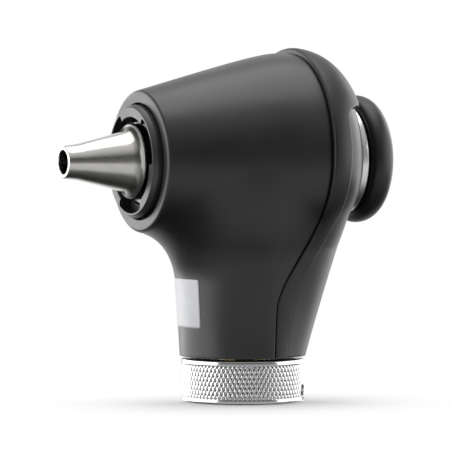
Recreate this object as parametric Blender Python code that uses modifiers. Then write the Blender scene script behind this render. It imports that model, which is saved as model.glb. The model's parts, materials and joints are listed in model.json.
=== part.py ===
"""Otoscope head: nose cone, two-part housing with a rubber bumper, focusing eyepiece and handle collar.

All sizes are in millimetres and MM turns them into Blender's metres. Z is up, the nose points to -Y,
and Y is counted from the handle's axis, which lies HANDLE_Y behind the middle of the head's length.
"""
import math

import bmesh
import bpy
import numpy as np

MM = 0.001
GAP = 0.3                    # clearance between pieces that touch

# Axes
HANDLE_Y = 6.2
OPTIC_Z = 56.1

# Housing
SHELL_T = 1.5
NOSE_Y, NOSE_R = -24.2, 16.94
CONE_SLOPE = 0.269
HEAD_R, HEAD_SOFT = 26.84, 1.72
DOME_Y, DOME_DEPTH, DOME_POWER = 0.6, 24.2, 3.2
NECK_R, NECK_FOOT = 14.66, 10.7
NECK_TOP, NECK_FADE = 36.9, 0.03     # where the neck starts to shrink into the head, and how fast
NECK_FRONT_SLOPE, NECK_BACK_SLOPE, NECK_BACK_MAX = 0.0524, 0.332, 27.9
NECK_SIDE_SLOPE, NECK_SIDE_FLARE = 0.03, 0.0042
FRONT_FILLET, BACK_FILLET = 9.8, 3.8
CHIN_DROP = 0.22             # how much the dome's lower half is drawn in
SEAM_LOW, SEAM_HIGH, SEAM_START, SEAM_END, SEAM_LEAN = 1.35, 9.6, 22.1, 44.0, 0.038
LIP = ((13.6, -26.6), (15.75, -26.6), (16.3, -26.35), (16.55, -25.8), (NOSE_R, NOSE_Y))
EYE_HOLE_R = 13.9

# Bumper
BUMPER_W, BUMPER_W_FOOT, BUMPER_W_TOP = 4.9, 3.4, 26.0
BUMPER_PROUD, BUMPER_PROUD_FOOT = 1.45, 0.3
BROW_REACH, BROW_START, BROW_END = 6.6, 0.235, 0.335

# Grid of the housing's surface
ARCH_STEPS, FOOT_STEPS, ROWS = 16, 5, 9
ARCH_R, ARCH_TURN = 25.0, math.radians(115)

# Nose
CONE_TIP_Y, CONE_TIP_R, CONE_BORE_R = -45.7, 3.75, 2.7
CONE_BASE_R, CONE_FLANGE_R = 8.7, 9.6
GRIP_R, GRIP_BORE_R, GRIP_FRONT, GRIP_BACK = 13.1, 10.2, -28.7, -24.8
GRIP_POCKET_R, GRIP_POCKET_HALF = 12.0, math.radians(30)
GRIP_POCKETS = (28.0, 148.0, 268.0)  # degrees round the optical axis, from +X towards +Z

# Eyepiece and focus
FOCUS_Y, FOCUS_TRAVEL, FOCUS_TURN = 23.0, 1.2, math.radians(40)
FOCUS_RING_R, FOCUS_BORE_R, CAM_DEPTH_R = 13.0, 9.5, 10.9
PIN_R = 0.7
EYE_TUBE_R, EYE_TUBE_BORE = 9.2, 8.0
CUP_R, CUP_BACK = 14.9, 33.3

# Collar and lamp
COLLAR_R, COLLAR_H, SOCKET_R, SOCKET_DEPTH = 14.4, 10.1, 11.9, 7.5
SCREW_TURN, SCREW_Z, SCREW_HOLE_R = math.radians(52), 2.25, 1.7
LAMP_R = 4.3

# Air port on the -X side
PORT_Y, PORT_HOLE_R, PORT_END = -8.0, 2.6, 25.8

BLACK = (0.018, 0.018, 0.020)
RUBBER = (0.022, 0.022, 0.023)
STEEL = (0.62, 0.60, 0.57)
SILVER = (0.80, 0.80, 0.80)
BRASS = (0.72, 0.53, 0.25)
GLASS = (0.85, 0.92, 0.95)
WHITE = (0.80, 0.80, 0.78)


def clear_scene():
    for item in list(bpy.data.objects):
        bpy.data.objects.remove(item, do_unlink=True)


def new_collection(name):
    group = bpy.data.collections.new(name)
    bpy.context.scene.collection.children.link(group)
    return group


clear_scene()
PARTS = new_collection("otoscope_head")
CUTTERS = new_collection("cutters")


# ---- Materials and objects -----------------------------------------------------------------------

def finish(item, colour, roughness, metallic=0.0):
    material = bpy.data.materials.new(item.name)
    material.use_nodes = True
    shader = material.node_tree.nodes["Principled BSDF"]
    shader.inputs["Base Color"].default_value = (*colour, 1.0)
    shader.inputs["Roughness"].default_value = roughness
    shader.inputs["Metallic"].default_value = metallic
    item.data.materials.append(material)
    return item


def place(name, data, group, place_mm=(0.0, 0.0, 0.0), turn=(0.0, 0.0, 0.0)):
    item = bpy.data.objects.new(name, data)
    item.location = [value * MM for value in place_mm]
    item.rotation_euler = turn
    group.objects.link(item)
    if group is CUTTERS:
        item.hide_render = True
        item.display_type = "WIRE"
    return item


def mesh_from(name, points_mm, edges, faces):
    mesh = bpy.data.meshes.new(name)
    mesh.from_pydata([tuple(value * MM for value in point) for point in points_mm], edges, faces)
    mesh.update()
    return mesh


def turned(name, outline, place_mm, turn=(0.0, 0.0, 0.0), steps=24, group=PARTS):
    """Turn an outline of (radius, height) points about local Z. It runs down its outer side."""
    points = [(radius, 0.0, height) for radius, height in outline]
    count = len(points)
    closed = min(radius for radius, _ in outline) > 0.0
    edges = [(i, (i + 1) % count) for i in range(count if closed else count - 1)]
    item = place(name, mesh_from(name, points, edges, []), group, place_mm, turn)
    screw = item.modifiers.new("turn", "SCREW")
    screw.steps = steps
    screw.render_steps = steps
    screw.use_merge_vertices = True
    screw.merge_threshold = 1e-5
    return item


ALONG_Y = (math.radians(-90), 0.0, 0.0)


def optic(name, outline, steps=24, group=PARTS):
    """A turned piece on the optical axis, with its outline's heights along +Y."""
    return turned(name, outline, (0.0, HANDLE_Y, OPTIC_Z), ALONG_Y, steps, group)


def upright(name, outline, steps=24, group=PARTS):
    """A turned piece on the handle's axis."""
    return turned(name, outline, (0.0, HANDLE_Y, 0.0), steps=steps, group=group)


def tube(inner, outer, low, high):
    return [(outer, high), (outer, low), (inner, low), (inner, high)]


def rod(radius, low, high, chamfer=0.0):
    if chamfer == 0.0:
        return [(0.0, high), (radius, high), (radius, low), (0.0, low)]
    return [(0.0, high), (radius - chamfer, high), (radius, high - chamfer),
            (radius, low + chamfer), (radius - chamfer, low), (0.0, low)]


def rounded(corners, arc_steps=2):
    """Round each (radius, height, fillet) corner of a closed outline."""
    outline = []
    count = len(corners)
    for i, (r, h, fillet) in enumerate(corners):
        if fillet == 0.0:
            outline.append((r, h))
            continue
        here = np.array((r, h))
        before = np.array(corners[i - 1][:2]) - here
        after = np.array(corners[(i + 1) % count][:2]) - here
        before /= np.linalg.norm(before)
        after /= np.linalg.norm(after)
        half = 0.5 * math.acos(float(np.clip(before @ after, -1.0, 1.0)))
        reach = fillet / math.tan(half)
        middle = here + (before + after) / np.linalg.norm(before + after) * fillet / math.sin(half)
        start = here + before * reach - middle
        sweep = math.pi - 2.0 * half
        side = math.copysign(1.0, before[1] * after[0] - before[0] * after[1])
        for k in range(arc_steps + 1):
            angle = side * sweep * k / arc_steps
            turn = np.array(((math.cos(angle), -math.sin(angle)), (math.sin(angle), math.cos(angle))))
            outline.append(tuple(middle + turn @ start))
    return outline


def lens(radius, low, high, edge, arc_steps=2):
    """A lens with two bulged faces, from low to high at its middle and edge thick at its rim."""
    middle = 0.5 * (low + high)
    bulge = 0.5 * (high - low - edge)
    ratios = [k / arc_steps for k in range(arc_steps + 1)]
    top = [(radius * t, middle + 0.5 * edge + bulge * (1 - t * t)) for t in ratios]
    foot = [(radius * t, middle - 0.5 * edge - bulge * (1 - t * t)) for t in reversed(ratios)]
    return top + foot


def boolean(item, cutter, operation="DIFFERENCE"):
    modifier = item.modifiers.new(cutter.name, "BOOLEAN")
    modifier.operation = operation
    modifier.object = cutter
    modifier.solver = "EXACT"


def box_cutter(name, low, high, place_mm=(0.0, 0.0, 0.0), turn=(0.0, 0.0, 0.0)):
    mesh = bpy.data.meshes.new(name)
    shape = bmesh.new()
    bmesh.ops.create_cube(shape, size=1.0)
    for vertex in shape.verts:
        for i in range(3):
            vertex.co[i] = MM * (0.5 * (low[i] + high[i]) + vertex.co[i] * (high[i] - low[i]))
    shape.to_mesh(mesh)
    shape.free()
    return place(name, mesh, CUTTERS, place_mm, turn)


def wire(name, points_mm, radius, smooth_points=24):
    """A round wire or tube with closed ends, through a smooth curve of a few guide points."""
    path = smooth_path(points_mm, smooth_points)
    data = bpy.data.curves.new(name, "CURVE")
    data.dimensions = "3D"
    data.bevel_depth = radius * MM
    data.bevel_resolution = 2
    data.use_fill_caps = True
    spline = data.splines.new("POLY")
    spline.points.add(len(path) - 1)
    for vertex, point in zip(spline.points, path):
        vertex.co = (*(value * MM for value in point), 1.0)
    return place(name, data, PARTS, (0.0, HANDLE_Y, 0.0))


def smooth_path(points, count):
    """Points on a Catmull-Rom curve through the guide points."""
    knots = [np.array(point, dtype=float) for point in points]
    knots = [2 * knots[0] - knots[1]] + knots + [2 * knots[-1] - knots[-2]]
    spans = len(knots) - 3
    path = []
    for value in np.linspace(0.0, spans, count):
        i = min(int(value), spans - 1)
        t = value - i
        a, b, c, d = knots[i:i + 4]
        path.append(0.5 * (2 * b + (c - a) * t + (2 * a - 5 * b + 4 * c - d) * t ** 2
                           + (3 * b - a - 3 * c + d) * t ** 3))
    return path


# ---- The housing's surface -----------------------------------------------------------------------

def soft_min(a, b, width):
    return -width * np.log(np.exp(-a / width) + np.exp(-b / width))


def fillet_min(a, b, width):
    near = np.maximum(width - np.abs(a - b), 0.0) / width
    return np.minimum(a, b) - near * near * width / 4.0


def smooth_step(low, high, value):
    t = np.clip((value - low) / (high - low), 0.0, 1.0)
    return t * t * (3.0 - 2.0 * t)


def head_field(x, y, z):
    """Below zero inside the head, which is turned about the optical axis."""
    cone = NOSE_R + CONE_SLOPE * (y - NOSE_Y)
    radius = soft_min(cone, HEAD_R, HEAD_SOFT)
    rise = z - OPTIC_Z
    chin = np.where(rise < 0.0, 1.0 + CHIN_DROP * smooth_step(0.0, 16.0, y), 1.0)
    across = np.hypot(x, rise * chin) / radius
    along = np.maximum((y - DOME_Y) / DOME_DEPTH, 0.0)
    reach = (across ** DOME_POWER + along ** DOME_POWER) ** (1.0 / DOME_POWER)
    return (reach - 1.0) * radius


def neck_field(x, y, z):
    """Below zero inside the neck, whose level sections are two half ellipses."""
    rise = z - NECK_FOOT
    front = NECK_R + NECK_FRONT_SLOPE * rise
    back = soft_min(NECK_R + NECK_BACK_SLOPE * rise, NECK_BACK_MAX, 1.0)
    half_width = NECK_R + NECK_SIDE_SLOPE * rise + NECK_SIDE_FLARE * rise * rise
    depth = np.where(y < 0.0, front, back)
    reach = np.hypot(x / half_width, y / depth)
    fade = NECK_FADE * np.maximum(z - NECK_TOP, 0.0) ** 2
    return (reach - 1.0) * np.minimum(half_width, depth) + fade


def body_field(points):
    x, y, z = points.T
    width = FRONT_FILLET + (BACK_FILLET - FRONT_FILLET) * smooth_step(-8.0, 10.0, y)
    return fillet_min(head_field(x, y, z), neck_field(x, y, z), width)


def slope(points, step=0.02):
    columns = []
    for axis in range(3):
        shift = np.zeros(3)
        shift[axis] = step
        columns.append((body_field(points + shift) - body_field(points - shift)) / (2.0 * step))
    return np.stack(columns, axis=1)


def settle(points, free=(1.0, 1.0, 1.0), rounds=16, longest=3.0):
    """Move points onto the body's surface, along the directions that are free."""
    points = np.array(points, dtype=float)
    for _ in range(rounds):
        direction = slope(points) * np.array(free)
        size = np.maximum((direction ** 2).sum(axis=1), 1e-6)
        move = -direction * (body_field(points) / size)[:, None]
        length = np.maximum(np.linalg.norm(move, axis=1), 1e-9)
        points += move * np.minimum(1.0, longest / length)[:, None]
    return points


def seam_y(z):
    """The front shell's rear edge: nearly upright on the head, and further forward on the neck."""
    lean = SEAM_LEAN * np.maximum(z - SEAM_START, 0.0)
    return SEAM_LOW + (SEAM_HIGH - SEAM_LOW) * smooth_step(SEAM_START, SEAM_END, z) + lean


def bumper_back_y(z, t):
    """The bumper's rear edge, which reaches back over the top as a brow."""
    width = BUMPER_W_FOOT + (BUMPER_W - BUMPER_W_FOOT) * smooth_step(NECK_FOOT, BUMPER_W_TOP, z)
    brow = BROW_REACH * (1.0 - smooth_step(BROW_START, BROW_END, t))
    return seam_y(z) + width + brow


def arch_guide(t):
    """(x, z) near the housing's outline, from its top (0) down the +X side to the neck's foot (1)."""
    arc = ARCH_R * ARCH_TURN
    end = np.array((ARCH_R * math.sin(ARCH_TURN), OPTIC_Z + ARCH_R * math.cos(ARCH_TURN)))
    foot = np.array((NECK_R, NECK_FOOT))
    leg = float(np.linalg.norm(foot - end))
    run = t * (arc + leg)
    if run < arc:
        angle = run / ARCH_R
        return np.array((ARCH_R * math.sin(angle), OPTIC_Z + ARCH_R * math.cos(angle)))
    return end + (foot - end) * (run - arc) / leg


def arch_edge(stations, edge_y):
    """Points on the surface along the arch, each at the Y that edge_y gives for its (z, t)."""
    points = []
    for t in stations:
        x, z = arch_guide(t)
        free = (1.0, 0.0, 0.0) if t == stations[-1] else (1.0, 0.0, 1.0)
        point = np.array(((x, edge_y(z, t), z),))
        for _ in range(6):
            point[0, 1] = edge_y(point[0, 2], t)
            point = settle(point, free, rounds=4)
        points.append(point[0])
    return np.array(points)


def foot_arc(corner, steps, side):
    """Points on the neck's foot from the corner to the middle of the front (-1) or the rear (1)."""
    start = math.atan2(corner[0], side * corner[1])
    angles = [start * (1.0 - k / steps) for k in range(1, steps + 1)]
    ring = np.array([(NECK_R * math.sin(a), side * NECK_R * math.cos(a), NECK_FOOT) for a in angles])
    return settle(ring, (1.0, 1.0, 0.0))


def arch_stations():
    return [k / ARCH_STEPS for k in range(ARCH_STEPS + 1)]


def half_shell(name, inner_rows, outer):
    """Half of a ring-shaped skin, from rows of turned (radius, y) points out to a free-form edge."""
    count = len(outer)
    angles = [math.pi * k / (count - 1) for k in range(count)]
    rows = []
    for radius, y in inner_rows:
        rows.append([(radius * math.sin(a), y, OPTIC_Z + radius * math.cos(a)) for a in angles])
    start = np.array(rows[-1])
    for k in range(1, ROWS):
        rows.append(settle(start + (outer - start) * k / ROWS))
    rows.append(outer)
    points = np.concatenate([np.array(row) for row in rows])
    points[0::count, 0] = 0.0
    points[count - 1::count, 0] = 0.0
    faces = []
    for r in range(len(rows) - 1):
        for c in range(count - 1):
            a = r * count + c
            faces.append((a, a + 1, a + count + 1, a + count))
    return points, faces


def shell(name, points, faces, flip):
    if flip:
        faces = [tuple(reversed(face)) for face in faces]
    item = place(name, mesh_from(name, points, [], faces), PARTS, (0.0, HANDLE_Y, 0.0))
    item.data.shade_smooth()
    mirror = item.modifiers.new("other_side", "MIRROR")
    mirror.merge_threshold = 1e-5
    solid = item.modifiers.new("wall", "SOLIDIFY")
    solid.thickness = SHELL_T * MM
    solid.offset = -1.0
    solid.use_even_offset = True
    return item


def build_front_shell():
    arch = arch_edge(arch_stations(), lambda z, t: seam_y(z) - 0.5 * GAP)
    outer = np.concatenate((arch, foot_arc(arch[-1], FOOT_STEPS, -1.0)))
    points, faces = half_shell("front_shell", LIP, outer)
    item = shell("front_shell", points, faces, False)
    drill = turned("port_drill", rod(PORT_HOLE_R, 10.0, 30.0), (0.0, HANDLE_Y + PORT_Y, OPTIC_Z),
                   (0.0, math.radians(-90), 0.0), 16, CUTTERS)
    boolean(item, drill)
    return finish(item, BLACK, 0.42)


def build_rear_cover():
    edge = arch_edge(arch_stations(), lambda z, t: bumper_back_y(z, t) + 0.5 * GAP)
    outer = np.concatenate((edge, foot_arc(edge[-1], FOOT_STEPS, 1.0)))
    hole_depth = 1.0 - (EYE_HOLE_R / HEAD_R) ** DOME_POWER
    hole_y = DOME_Y + DOME_DEPTH * hole_depth ** (1.0 / DOME_POWER)
    points, faces = half_shell("rear_cover", ((EYE_HOLE_R, hole_y),), outer)
    return finish(shell("rear_cover", points, faces, True), BLACK, 0.38)


def build_bumper():
    """A band lofted along the seam: its section stands proud of the skin and is rounded outside."""
    stations = arch_stations()
    front = arch_edge(stations, lambda z, t: seam_y(z) + 0.5 * GAP)
    back = arch_edge(stations, lambda z, t: bumper_back_y(z, t) - 0.5 * GAP)
    section = ((0.0, -1.0), (0.0, 0.55), (0.06, 0.85), (0.2, 1.0), (0.45, 1.0), (0.72, 0.98),
               (0.92, 0.8), (1.0, 0.5), (1.0, -1.0))
    rows = []
    for k, t in enumerate(stations):
        proud = BUMPER_PROUD + (BUMPER_PROUD_FOOT - BUMPER_PROUD) * smooth_step(0.42, 0.85, t)
        across = np.array([front[k] + (back[k] - front[k]) * v for v, _ in section])
        across = settle(across, (1.0, 0.0, 0.0) if k == ARCH_STEPS else (1.0, 0.0, 1.0))
        normal = slope(across) * np.array((1.0, 1.0, 0.0 if k == ARCH_STEPS else 1.0))
        normal /= np.linalg.norm(normal, axis=1)[:, None]
        lift = np.array([proud * h if h > 0.0 else SHELL_T * h for _, h in section])
        row = across + normal * lift[:, None]
        if k == 0:
            row[:, 0] = 0.0
        rows.append(row)
    width = len(section)
    faces = []
    for k in range(ARCH_STEPS):
        for v in range(width):
            a, b = k * width + v, k * width + (v + 1) % width
            faces.append((a, a + width, b + width, b))
    faces.append(tuple(ARCH_STEPS * width + v for v in reversed(range(width))))
    item = place("rubber_bumper", mesh_from("rubber_bumper", np.concatenate(rows), [], faces), PARTS,
                 (0.0, HANDLE_Y, 0.0))
    item.data.shade_smooth()
    mirror = item.modifiers.new("other_side", "MIRROR")
    mirror.merge_threshold = 1e-5
    return finish(item, RUBBER, 0.6)


# ---- Nose ----------------------------------------------------------------------------------------

def build_nose_cone():
    bore = [(CONE_BORE_R, CONE_TIP_Y, 0.35), (CONE_BORE_R + 0.35, CONE_TIP_Y + 3.0, 0.0), (6.2, -28.0, 0.0),
            (6.2, -19.0, 0.0)]
    base = [(7.4, -19.0, 0.0), (7.4, -25.6, 0.0), (CONE_FLANGE_R, -25.6, 0.0), (CONE_FLANGE_R, -26.5, 0.0),
            (CONE_BASE_R, -26.5, 0.0), (CONE_BASE_R, -28.7, 0.0), (8.4, -29.0, 0.0)]
    taper = [(7.75, -29.35, 0.0), (7.2, -30.0, 0.0), (6.86, -31.0, 0.0), (4.2, -42.0, 0.0),
             (CONE_TIP_R, CONE_TIP_Y, 0.4)]
    outline = rounded(bore + base + taper)
    finish(optic("nose_cone", outline, 32), STEEL, 0.28, 1.0)


def build_nose_plate():
    finish(optic("nose_plate", tube(7.75, 14.2, -24.5, -23.2)), BLACK, 0.5, 0.3)


def build_tip_grip_ring():
    outline = rounded([(GRIP_R, GRIP_BACK, 0.0), (GRIP_R, GRIP_FRONT + 1.0, 0.0),
                       (GRIP_R - 0.7, GRIP_FRONT, 0.0), (GRIP_BORE_R, GRIP_FRONT, 0.3),
                       (GRIP_BORE_R, GRIP_BACK, 0.0)])
    ring = optic("tip_grip_ring", outline, 36)
    floor_y = GRIP_BACK - 1.1
    for k, middle in enumerate(GRIP_POCKETS):
        pocket = sector(f"grip_pocket_{k + 1}", GRIP_BORE_R - 1.5, GRIP_POCKET_R, GRIP_FRONT - 1.0, floor_y,
                        math.radians(middle), GRIP_POCKET_HALF)
        boolean(ring, pocket)
    finish(ring, BLACK, 0.45)


def sector(name, inner, outer, low, high, middle, half, steps=10):
    """A block cutter bent round the optical axis, between two radii, heights and angles."""
    rows = []
    for k in range(steps + 1):
        angle = middle - half + 2.0 * half * k / steps
        rows.append([(radius * math.cos(angle), y, radius * math.sin(angle))
                     for radius, y in ((inner, low), (outer, low), (outer, high), (inner, high))])
    return bent_block(name, rows)


def bent_block(name, rows):
    """A closed cutter lofted through rows of four corners."""
    last = 4 * (len(rows) - 1)
    faces = [(0, 1, 2, 3), tuple(last + v for v in range(4))]
    for k in range(0, last, 4):
        faces += [(k + v, k + v + 4, k + (v + 1) % 4 + 4, k + (v + 1) % 4) for v in range(4)]
    mesh = mesh_from(name, [point for row in rows for point in row], [], faces)
    shape = bmesh.new()
    shape.from_mesh(mesh)
    bmesh.ops.recalc_face_normals(shape, faces=shape.faces)
    shape.to_mesh(mesh)
    shape.free()
    return place(name, mesh, CUTTERS, (0.0, HANDLE_Y, OPTIC_Z))


def ring_points(radius, y, start, end, count):
    angles = np.radians(np.linspace(start, end, count))
    return [(radius * math.cos(a), y, OPTIC_Z + radius * math.sin(a)) for a in angles]


def build_grip_spring():
    finish(wire("grip_spring", ring_points(8.65, -25.05, -60.0, 230.0, 12), 0.25, 22), STEEL, 0.3, 1.0)


def build_nose_seal():
    finish(optic("nose_seal", round_ring(8.5, -22.3, 0.5), 20), RUBBER, 0.6)


def round_ring(radius, y, thick, sides=6):
    angles = [2.0 * math.pi * k / sides for k in range(sides)]
    return [(radius + thick * math.cos(a), y - thick * math.sin(a)) for a in angles]


# ---- Optics --------------------------------------------------------------------------------------

def build_optics():
    barrel = [(10.2, 17.0), (10.2, -18.6), (7.5, -18.6), (7.5, -18.0), (9.3, -18.0), (9.3, 17.0)]
    finish(optic("lens_barrel", barrel), BLACK, 0.5, 0.3)
    finish(optic("front_window", rod(9.0, -17.7, -16.7)), GLASS, 0.03)
    finish(optic("objective_lens", lens(9.0, -13.0, -9.0, 2.0)), GLASS, 0.03)
    finish(optic("field_stop", tube(4.0, 9.0, -1.0, 0.0)), BLACK, 0.6)
    finish(optic("relay_lens", lens(9.0, 5.0, 8.4, 1.6)), GLASS, 0.03)
    finish(optic("fibre_ring", tube(7.9, 13.9, -21.4, -19.9)), WHITE, 0.4)


def build_optics_frame():
    """A tube round the lens barrel, with a post down to a foot plate on the neck's sleeve."""
    frame = optic("optics_frame", tube(10.5, 11.6, -17.8, 15.0))
    post = box_cutter("frame_post", (-3.5, 6.4, 26.5), (3.5, 9.2, OPTIC_Z - 11.0), (0.0, HANDLE_Y, 0.0))
    foot = upright("frame_foot", tube(5.8, 12.2, 26.3, 27.6), 24, CUTTERS)
    boolean(frame, post, "UNION")
    boolean(frame, foot, "UNION")
    finish(frame, BLACK, 0.5)


def build_focus():
    """A pin on the lens cell runs in the eye tube's straight slot and in the ring's helical groove."""
    cell = [(7.7, FOCUS_Y + 3.0), (7.7, FOCUS_Y - 3.0), (5.2, FOCUS_Y - 3.0), (5.2, FOCUS_Y - 2.2),
            (6.4, FOCUS_Y - 2.2), (6.4, FOCUS_Y + 3.0)]
    finish(optic("focus_cell", cell), SILVER, 0.4, 1.0)
    finish(optic("focus_lens", lens(6.1, FOCUS_Y - 1.9, FOCUS_Y + 1.3, 1.5)), GLASS, 0.03)
    finish(turned("focus_pin", rod(PIN_R, 8.0, CAM_DEPTH_R - GAP), (0.0, HANDLE_Y + FOCUS_Y, OPTIC_Z),
                  (math.pi, 0.0, 0.0), 16), STEEL, 0.3, 1.0)
    ring = rounded([(FOCUS_RING_R, 26.7, 0.5), (FOCUS_RING_R, 20.4, 0.5), (FOCUS_BORE_R, 20.4, 0.0),
                    (FOCUS_BORE_R, 26.7, 0.0)])
    ring = optic("focus_ring", ring, 36)
    boolean(ring, cam_groove())
    finish(ring, SILVER, 0.25, 1.0)


def cam_groove(steps=14):
    """The helical groove's cutter: a bar whose Y follows its angle from straight down."""
    half = PIN_R + GAP
    reach = FOCUS_TURN + math.radians(8)
    rows = []
    for k in range(steps + 1):
        turn = -reach + 2.0 * reach * k / steps
        y = FOCUS_Y + FOCUS_TRAVEL * turn / FOCUS_TURN
        rows.append([(radius * math.sin(turn), y + edge, -radius * math.cos(turn))
                     for radius, edge in ((FOCUS_BORE_R - 1.0, -half), (CAM_DEPTH_R, -half),
                                          (CAM_DEPTH_R, half), (FOCUS_BORE_R - 1.0, half))])
    return bent_block("cam_groove", rows)


def build_eyepiece():
    eye_tube = [(EYE_TUBE_R, 31.0), (EYE_TUBE_R, 17.3), (6.8, 17.3), (6.8, 18.2), (EYE_TUBE_BORE, 18.2),
                (EYE_TUBE_BORE, 31.0)]
    eye_tube = optic("eyepiece_tube", eye_tube)
    half = PIN_R + GAP
    reach = FOCUS_TRAVEL + half
    slot = box_cutter("pin_slot", (-half, FOCUS_Y - reach, -EYE_TUBE_R - 1.0),
                      (half, FOCUS_Y + reach, -EYE_TUBE_BORE + 1.0), (0.0, HANDLE_Y, OPTIC_Z))
    boolean(eye_tube, slot)
    finish(eye_tube, BLACK, 0.5, 0.3)
    finish(optic("eye_lens", lens(7.7, 27.6, 29.4, 0.9)), GLASS, 0.03)
    finish(optic("eyepiece_retainer", tube(6.4, 7.7, 29.3, 30.2), 24), BLACK, 0.5, 0.3)
    cup = rounded([(CUP_R, CUP_BACK, 3.9), (CUP_R, 27.0, 2.0), (9.5, 27.0, 0.0), (9.5, 31.3, 0.0),
                   (10.6, CUP_BACK, 0.5)], 4)
    finish(optic("eyecup", cup, 36), RUBBER, 0.65)


# ---- Neck, collar and lamp -----------------------------------------------------------------------

def build_collar():
    outline = rounded([(COLLAR_R, COLLAR_H, 0.5), (COLLAR_R, 0.0, 0.5), (SOCKET_R, 0.0, 0.0),
                       (SOCKET_R, SOCKET_DEPTH, 0.0), (5.7, SOCKET_DEPTH, 0.0), (5.7, COLLAR_H, 0.0)])
    collar = upright("knurled_collar", outline, 40)
    tilt = (0.0, math.radians(90), SCREW_TURN)
    drill = turned("screw_drill", rod(SCREW_HOLE_R, 11.0, 16.0), (0.0, HANDLE_Y, SCREW_Z), tilt, 16, CUTTERS)
    boolean(collar, drill)
    finish(collar, SILVER, 0.22, 1.0)
    screw = turned("collar_set_screw", rod(SCREW_HOLE_R - GAP, 12.1, 13.7, 0.2),
                   (0.0, HANDLE_Y, SCREW_Z), tilt, 16)
    recess = turned("screw_recess", rod(0.7, 13.0, 15.0), (0.0, HANDLE_Y, SCREW_Z), tilt, 6, CUTTERS)
    boolean(screw, recess)
    finish(screw, BLACK, 0.35, 1.0)


def build_bayonet_ring():
    """A ring in the socket with three inward lugs, which take the handle's slots."""
    ring = upright("bayonet_ring", tube(10.6, 11.6, 4.2, 7.2), 36)
    for k in range(3):
        lug = box_cutter(f"bayonet_lug_{k + 1}", (9.4, -1.6, 5.2), (11.0, 1.6, 7.2),
                         (0.0, HANDLE_Y, 0.0), (0.0, 0.0, math.radians(30 + 120 * k)))
        boolean(ring, lug, "UNION")
    finish(ring, STEEL, 0.3, 1.0)


def build_lamp():
    finish(upright("neck_sleeve", tube(11.2, 12.4, COLLAR_H + GAP, 26.0)), BLACK, 0.5, 0.3)
    finish(upright("lamp_sleeve", tube(4.6, 5.4, 8.0, 28.0), 24), BRASS, 0.35, 1.0)
    finish(upright("lamp_base", rod(LAMP_R, 8.3, 19.0, 0.3), 24), SILVER, 0.3, 1.0)
    bulb = [(0.0, 26.6), (1.4, 26.2), (2.4, 25.2), (2.8, 23.9), (2.8, 19.3), (0.0, 19.3)]
    finish(upright("lamp_bulb", bulb, 24), GLASS, 0.05)
    finish(upright("lamp_insulator", rod(2.6, 7.2, 8.0), 20), WHITE, 0.5)
    finish(upright("lamp_contact", rod(1.0, 6.2, 6.9), 16), BRASS, 0.3, 1.0)
    guide = ((0.0, 0.0, 28.2), (0.0, -2.5, 33.5), (0.0, -8.5, 39.6), (0.0, -14.5, 42.1), (0.0, -19.6, 42.8))
    finish(wire("light_guide", guide, 1.5, 18), WHITE, 0.4)


# ---- Air port ------------------------------------------------------------------------------------

def build_air_port():
    """A nipple for a bulb's hose on the -X side, with its seal and the tube that leads forward."""
    side = (0.0, math.radians(-90), 0.0)
    centre = (0.0, HANDLE_Y + PORT_Y, OPTIC_Z)
    port = [(1.9, PORT_END), (2.1, PORT_END - 1.2), (1.6, PORT_END - 1.6), (PORT_HOLE_R - GAP, 22.2),
            (PORT_HOLE_R - GAP, 18.3), (3.6, 18.3), (3.6, 17.2), (0.8, 17.2), (0.8, PORT_END)]
    finish(turned("insufflation_port", port, centre, side, 20), SILVER, 0.3, 1.0)
    finish(turned("port_seal", tube(1.3, 3.4, 16.2, 16.9), centre, side, 20), RUBBER, 0.6)
    hose = ((-15.9, PORT_Y, OPTIC_Z), (-14.4, PORT_Y - 1.0, OPTIC_Z), (-13.3, PORT_Y - 5.0, OPTIC_Z),
            (-13.0, -19.4, OPTIC_Z))
    finish(wire("air_tube", hose, 0.9, 16), WHITE, 0.5)


build_front_shell()
build_rear_cover()
build_bumper()
build_nose_cone()
build_nose_plate()
build_tip_grip_ring()
build_grip_spring()
build_nose_seal()
build_optics()
build_optics_frame()
build_focus()
build_eyepiece()
build_collar()
build_bayonet_ring()
build_lamp()
build_air_port()
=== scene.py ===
"""The looks of the otoscope head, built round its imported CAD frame.

Shapes are worked out in millimetres from the handle's axis, with MM and HANDLE_Y turning them into the
frame's metres. The nose points to -Y, Z is up, and the optical axis runs along Y.
"""
import json
import math

import bmesh
import bpy
import numpy as np
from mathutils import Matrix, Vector


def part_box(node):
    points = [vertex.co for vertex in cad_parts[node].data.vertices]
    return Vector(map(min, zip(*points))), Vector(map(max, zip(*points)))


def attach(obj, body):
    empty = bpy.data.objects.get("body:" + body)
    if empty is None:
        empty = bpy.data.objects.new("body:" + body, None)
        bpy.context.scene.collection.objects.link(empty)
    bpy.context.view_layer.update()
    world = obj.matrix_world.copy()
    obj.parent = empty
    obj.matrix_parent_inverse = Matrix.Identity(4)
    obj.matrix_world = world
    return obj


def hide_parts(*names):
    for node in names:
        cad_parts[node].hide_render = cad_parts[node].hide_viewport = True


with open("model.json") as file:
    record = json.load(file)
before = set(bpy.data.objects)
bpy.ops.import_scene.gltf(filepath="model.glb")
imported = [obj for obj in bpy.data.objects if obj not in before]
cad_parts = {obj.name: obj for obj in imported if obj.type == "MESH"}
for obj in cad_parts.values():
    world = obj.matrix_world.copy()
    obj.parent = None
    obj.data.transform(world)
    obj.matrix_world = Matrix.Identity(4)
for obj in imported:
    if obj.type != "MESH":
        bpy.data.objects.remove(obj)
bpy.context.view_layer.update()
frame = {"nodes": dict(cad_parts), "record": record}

MM = 0.001


def node_middle(node):
    """The middle of a frame node's box, in metres."""
    low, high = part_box(node)
    return (Vector(low) + Vector(high)) / 2.0


HANDLE_Y = node_middle("knurled_collar").y / MM
OPTIC_Z = node_middle("eyecup").z / MM

# ---- Camera, lights and stage ----------------------------------------------------------------------

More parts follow.
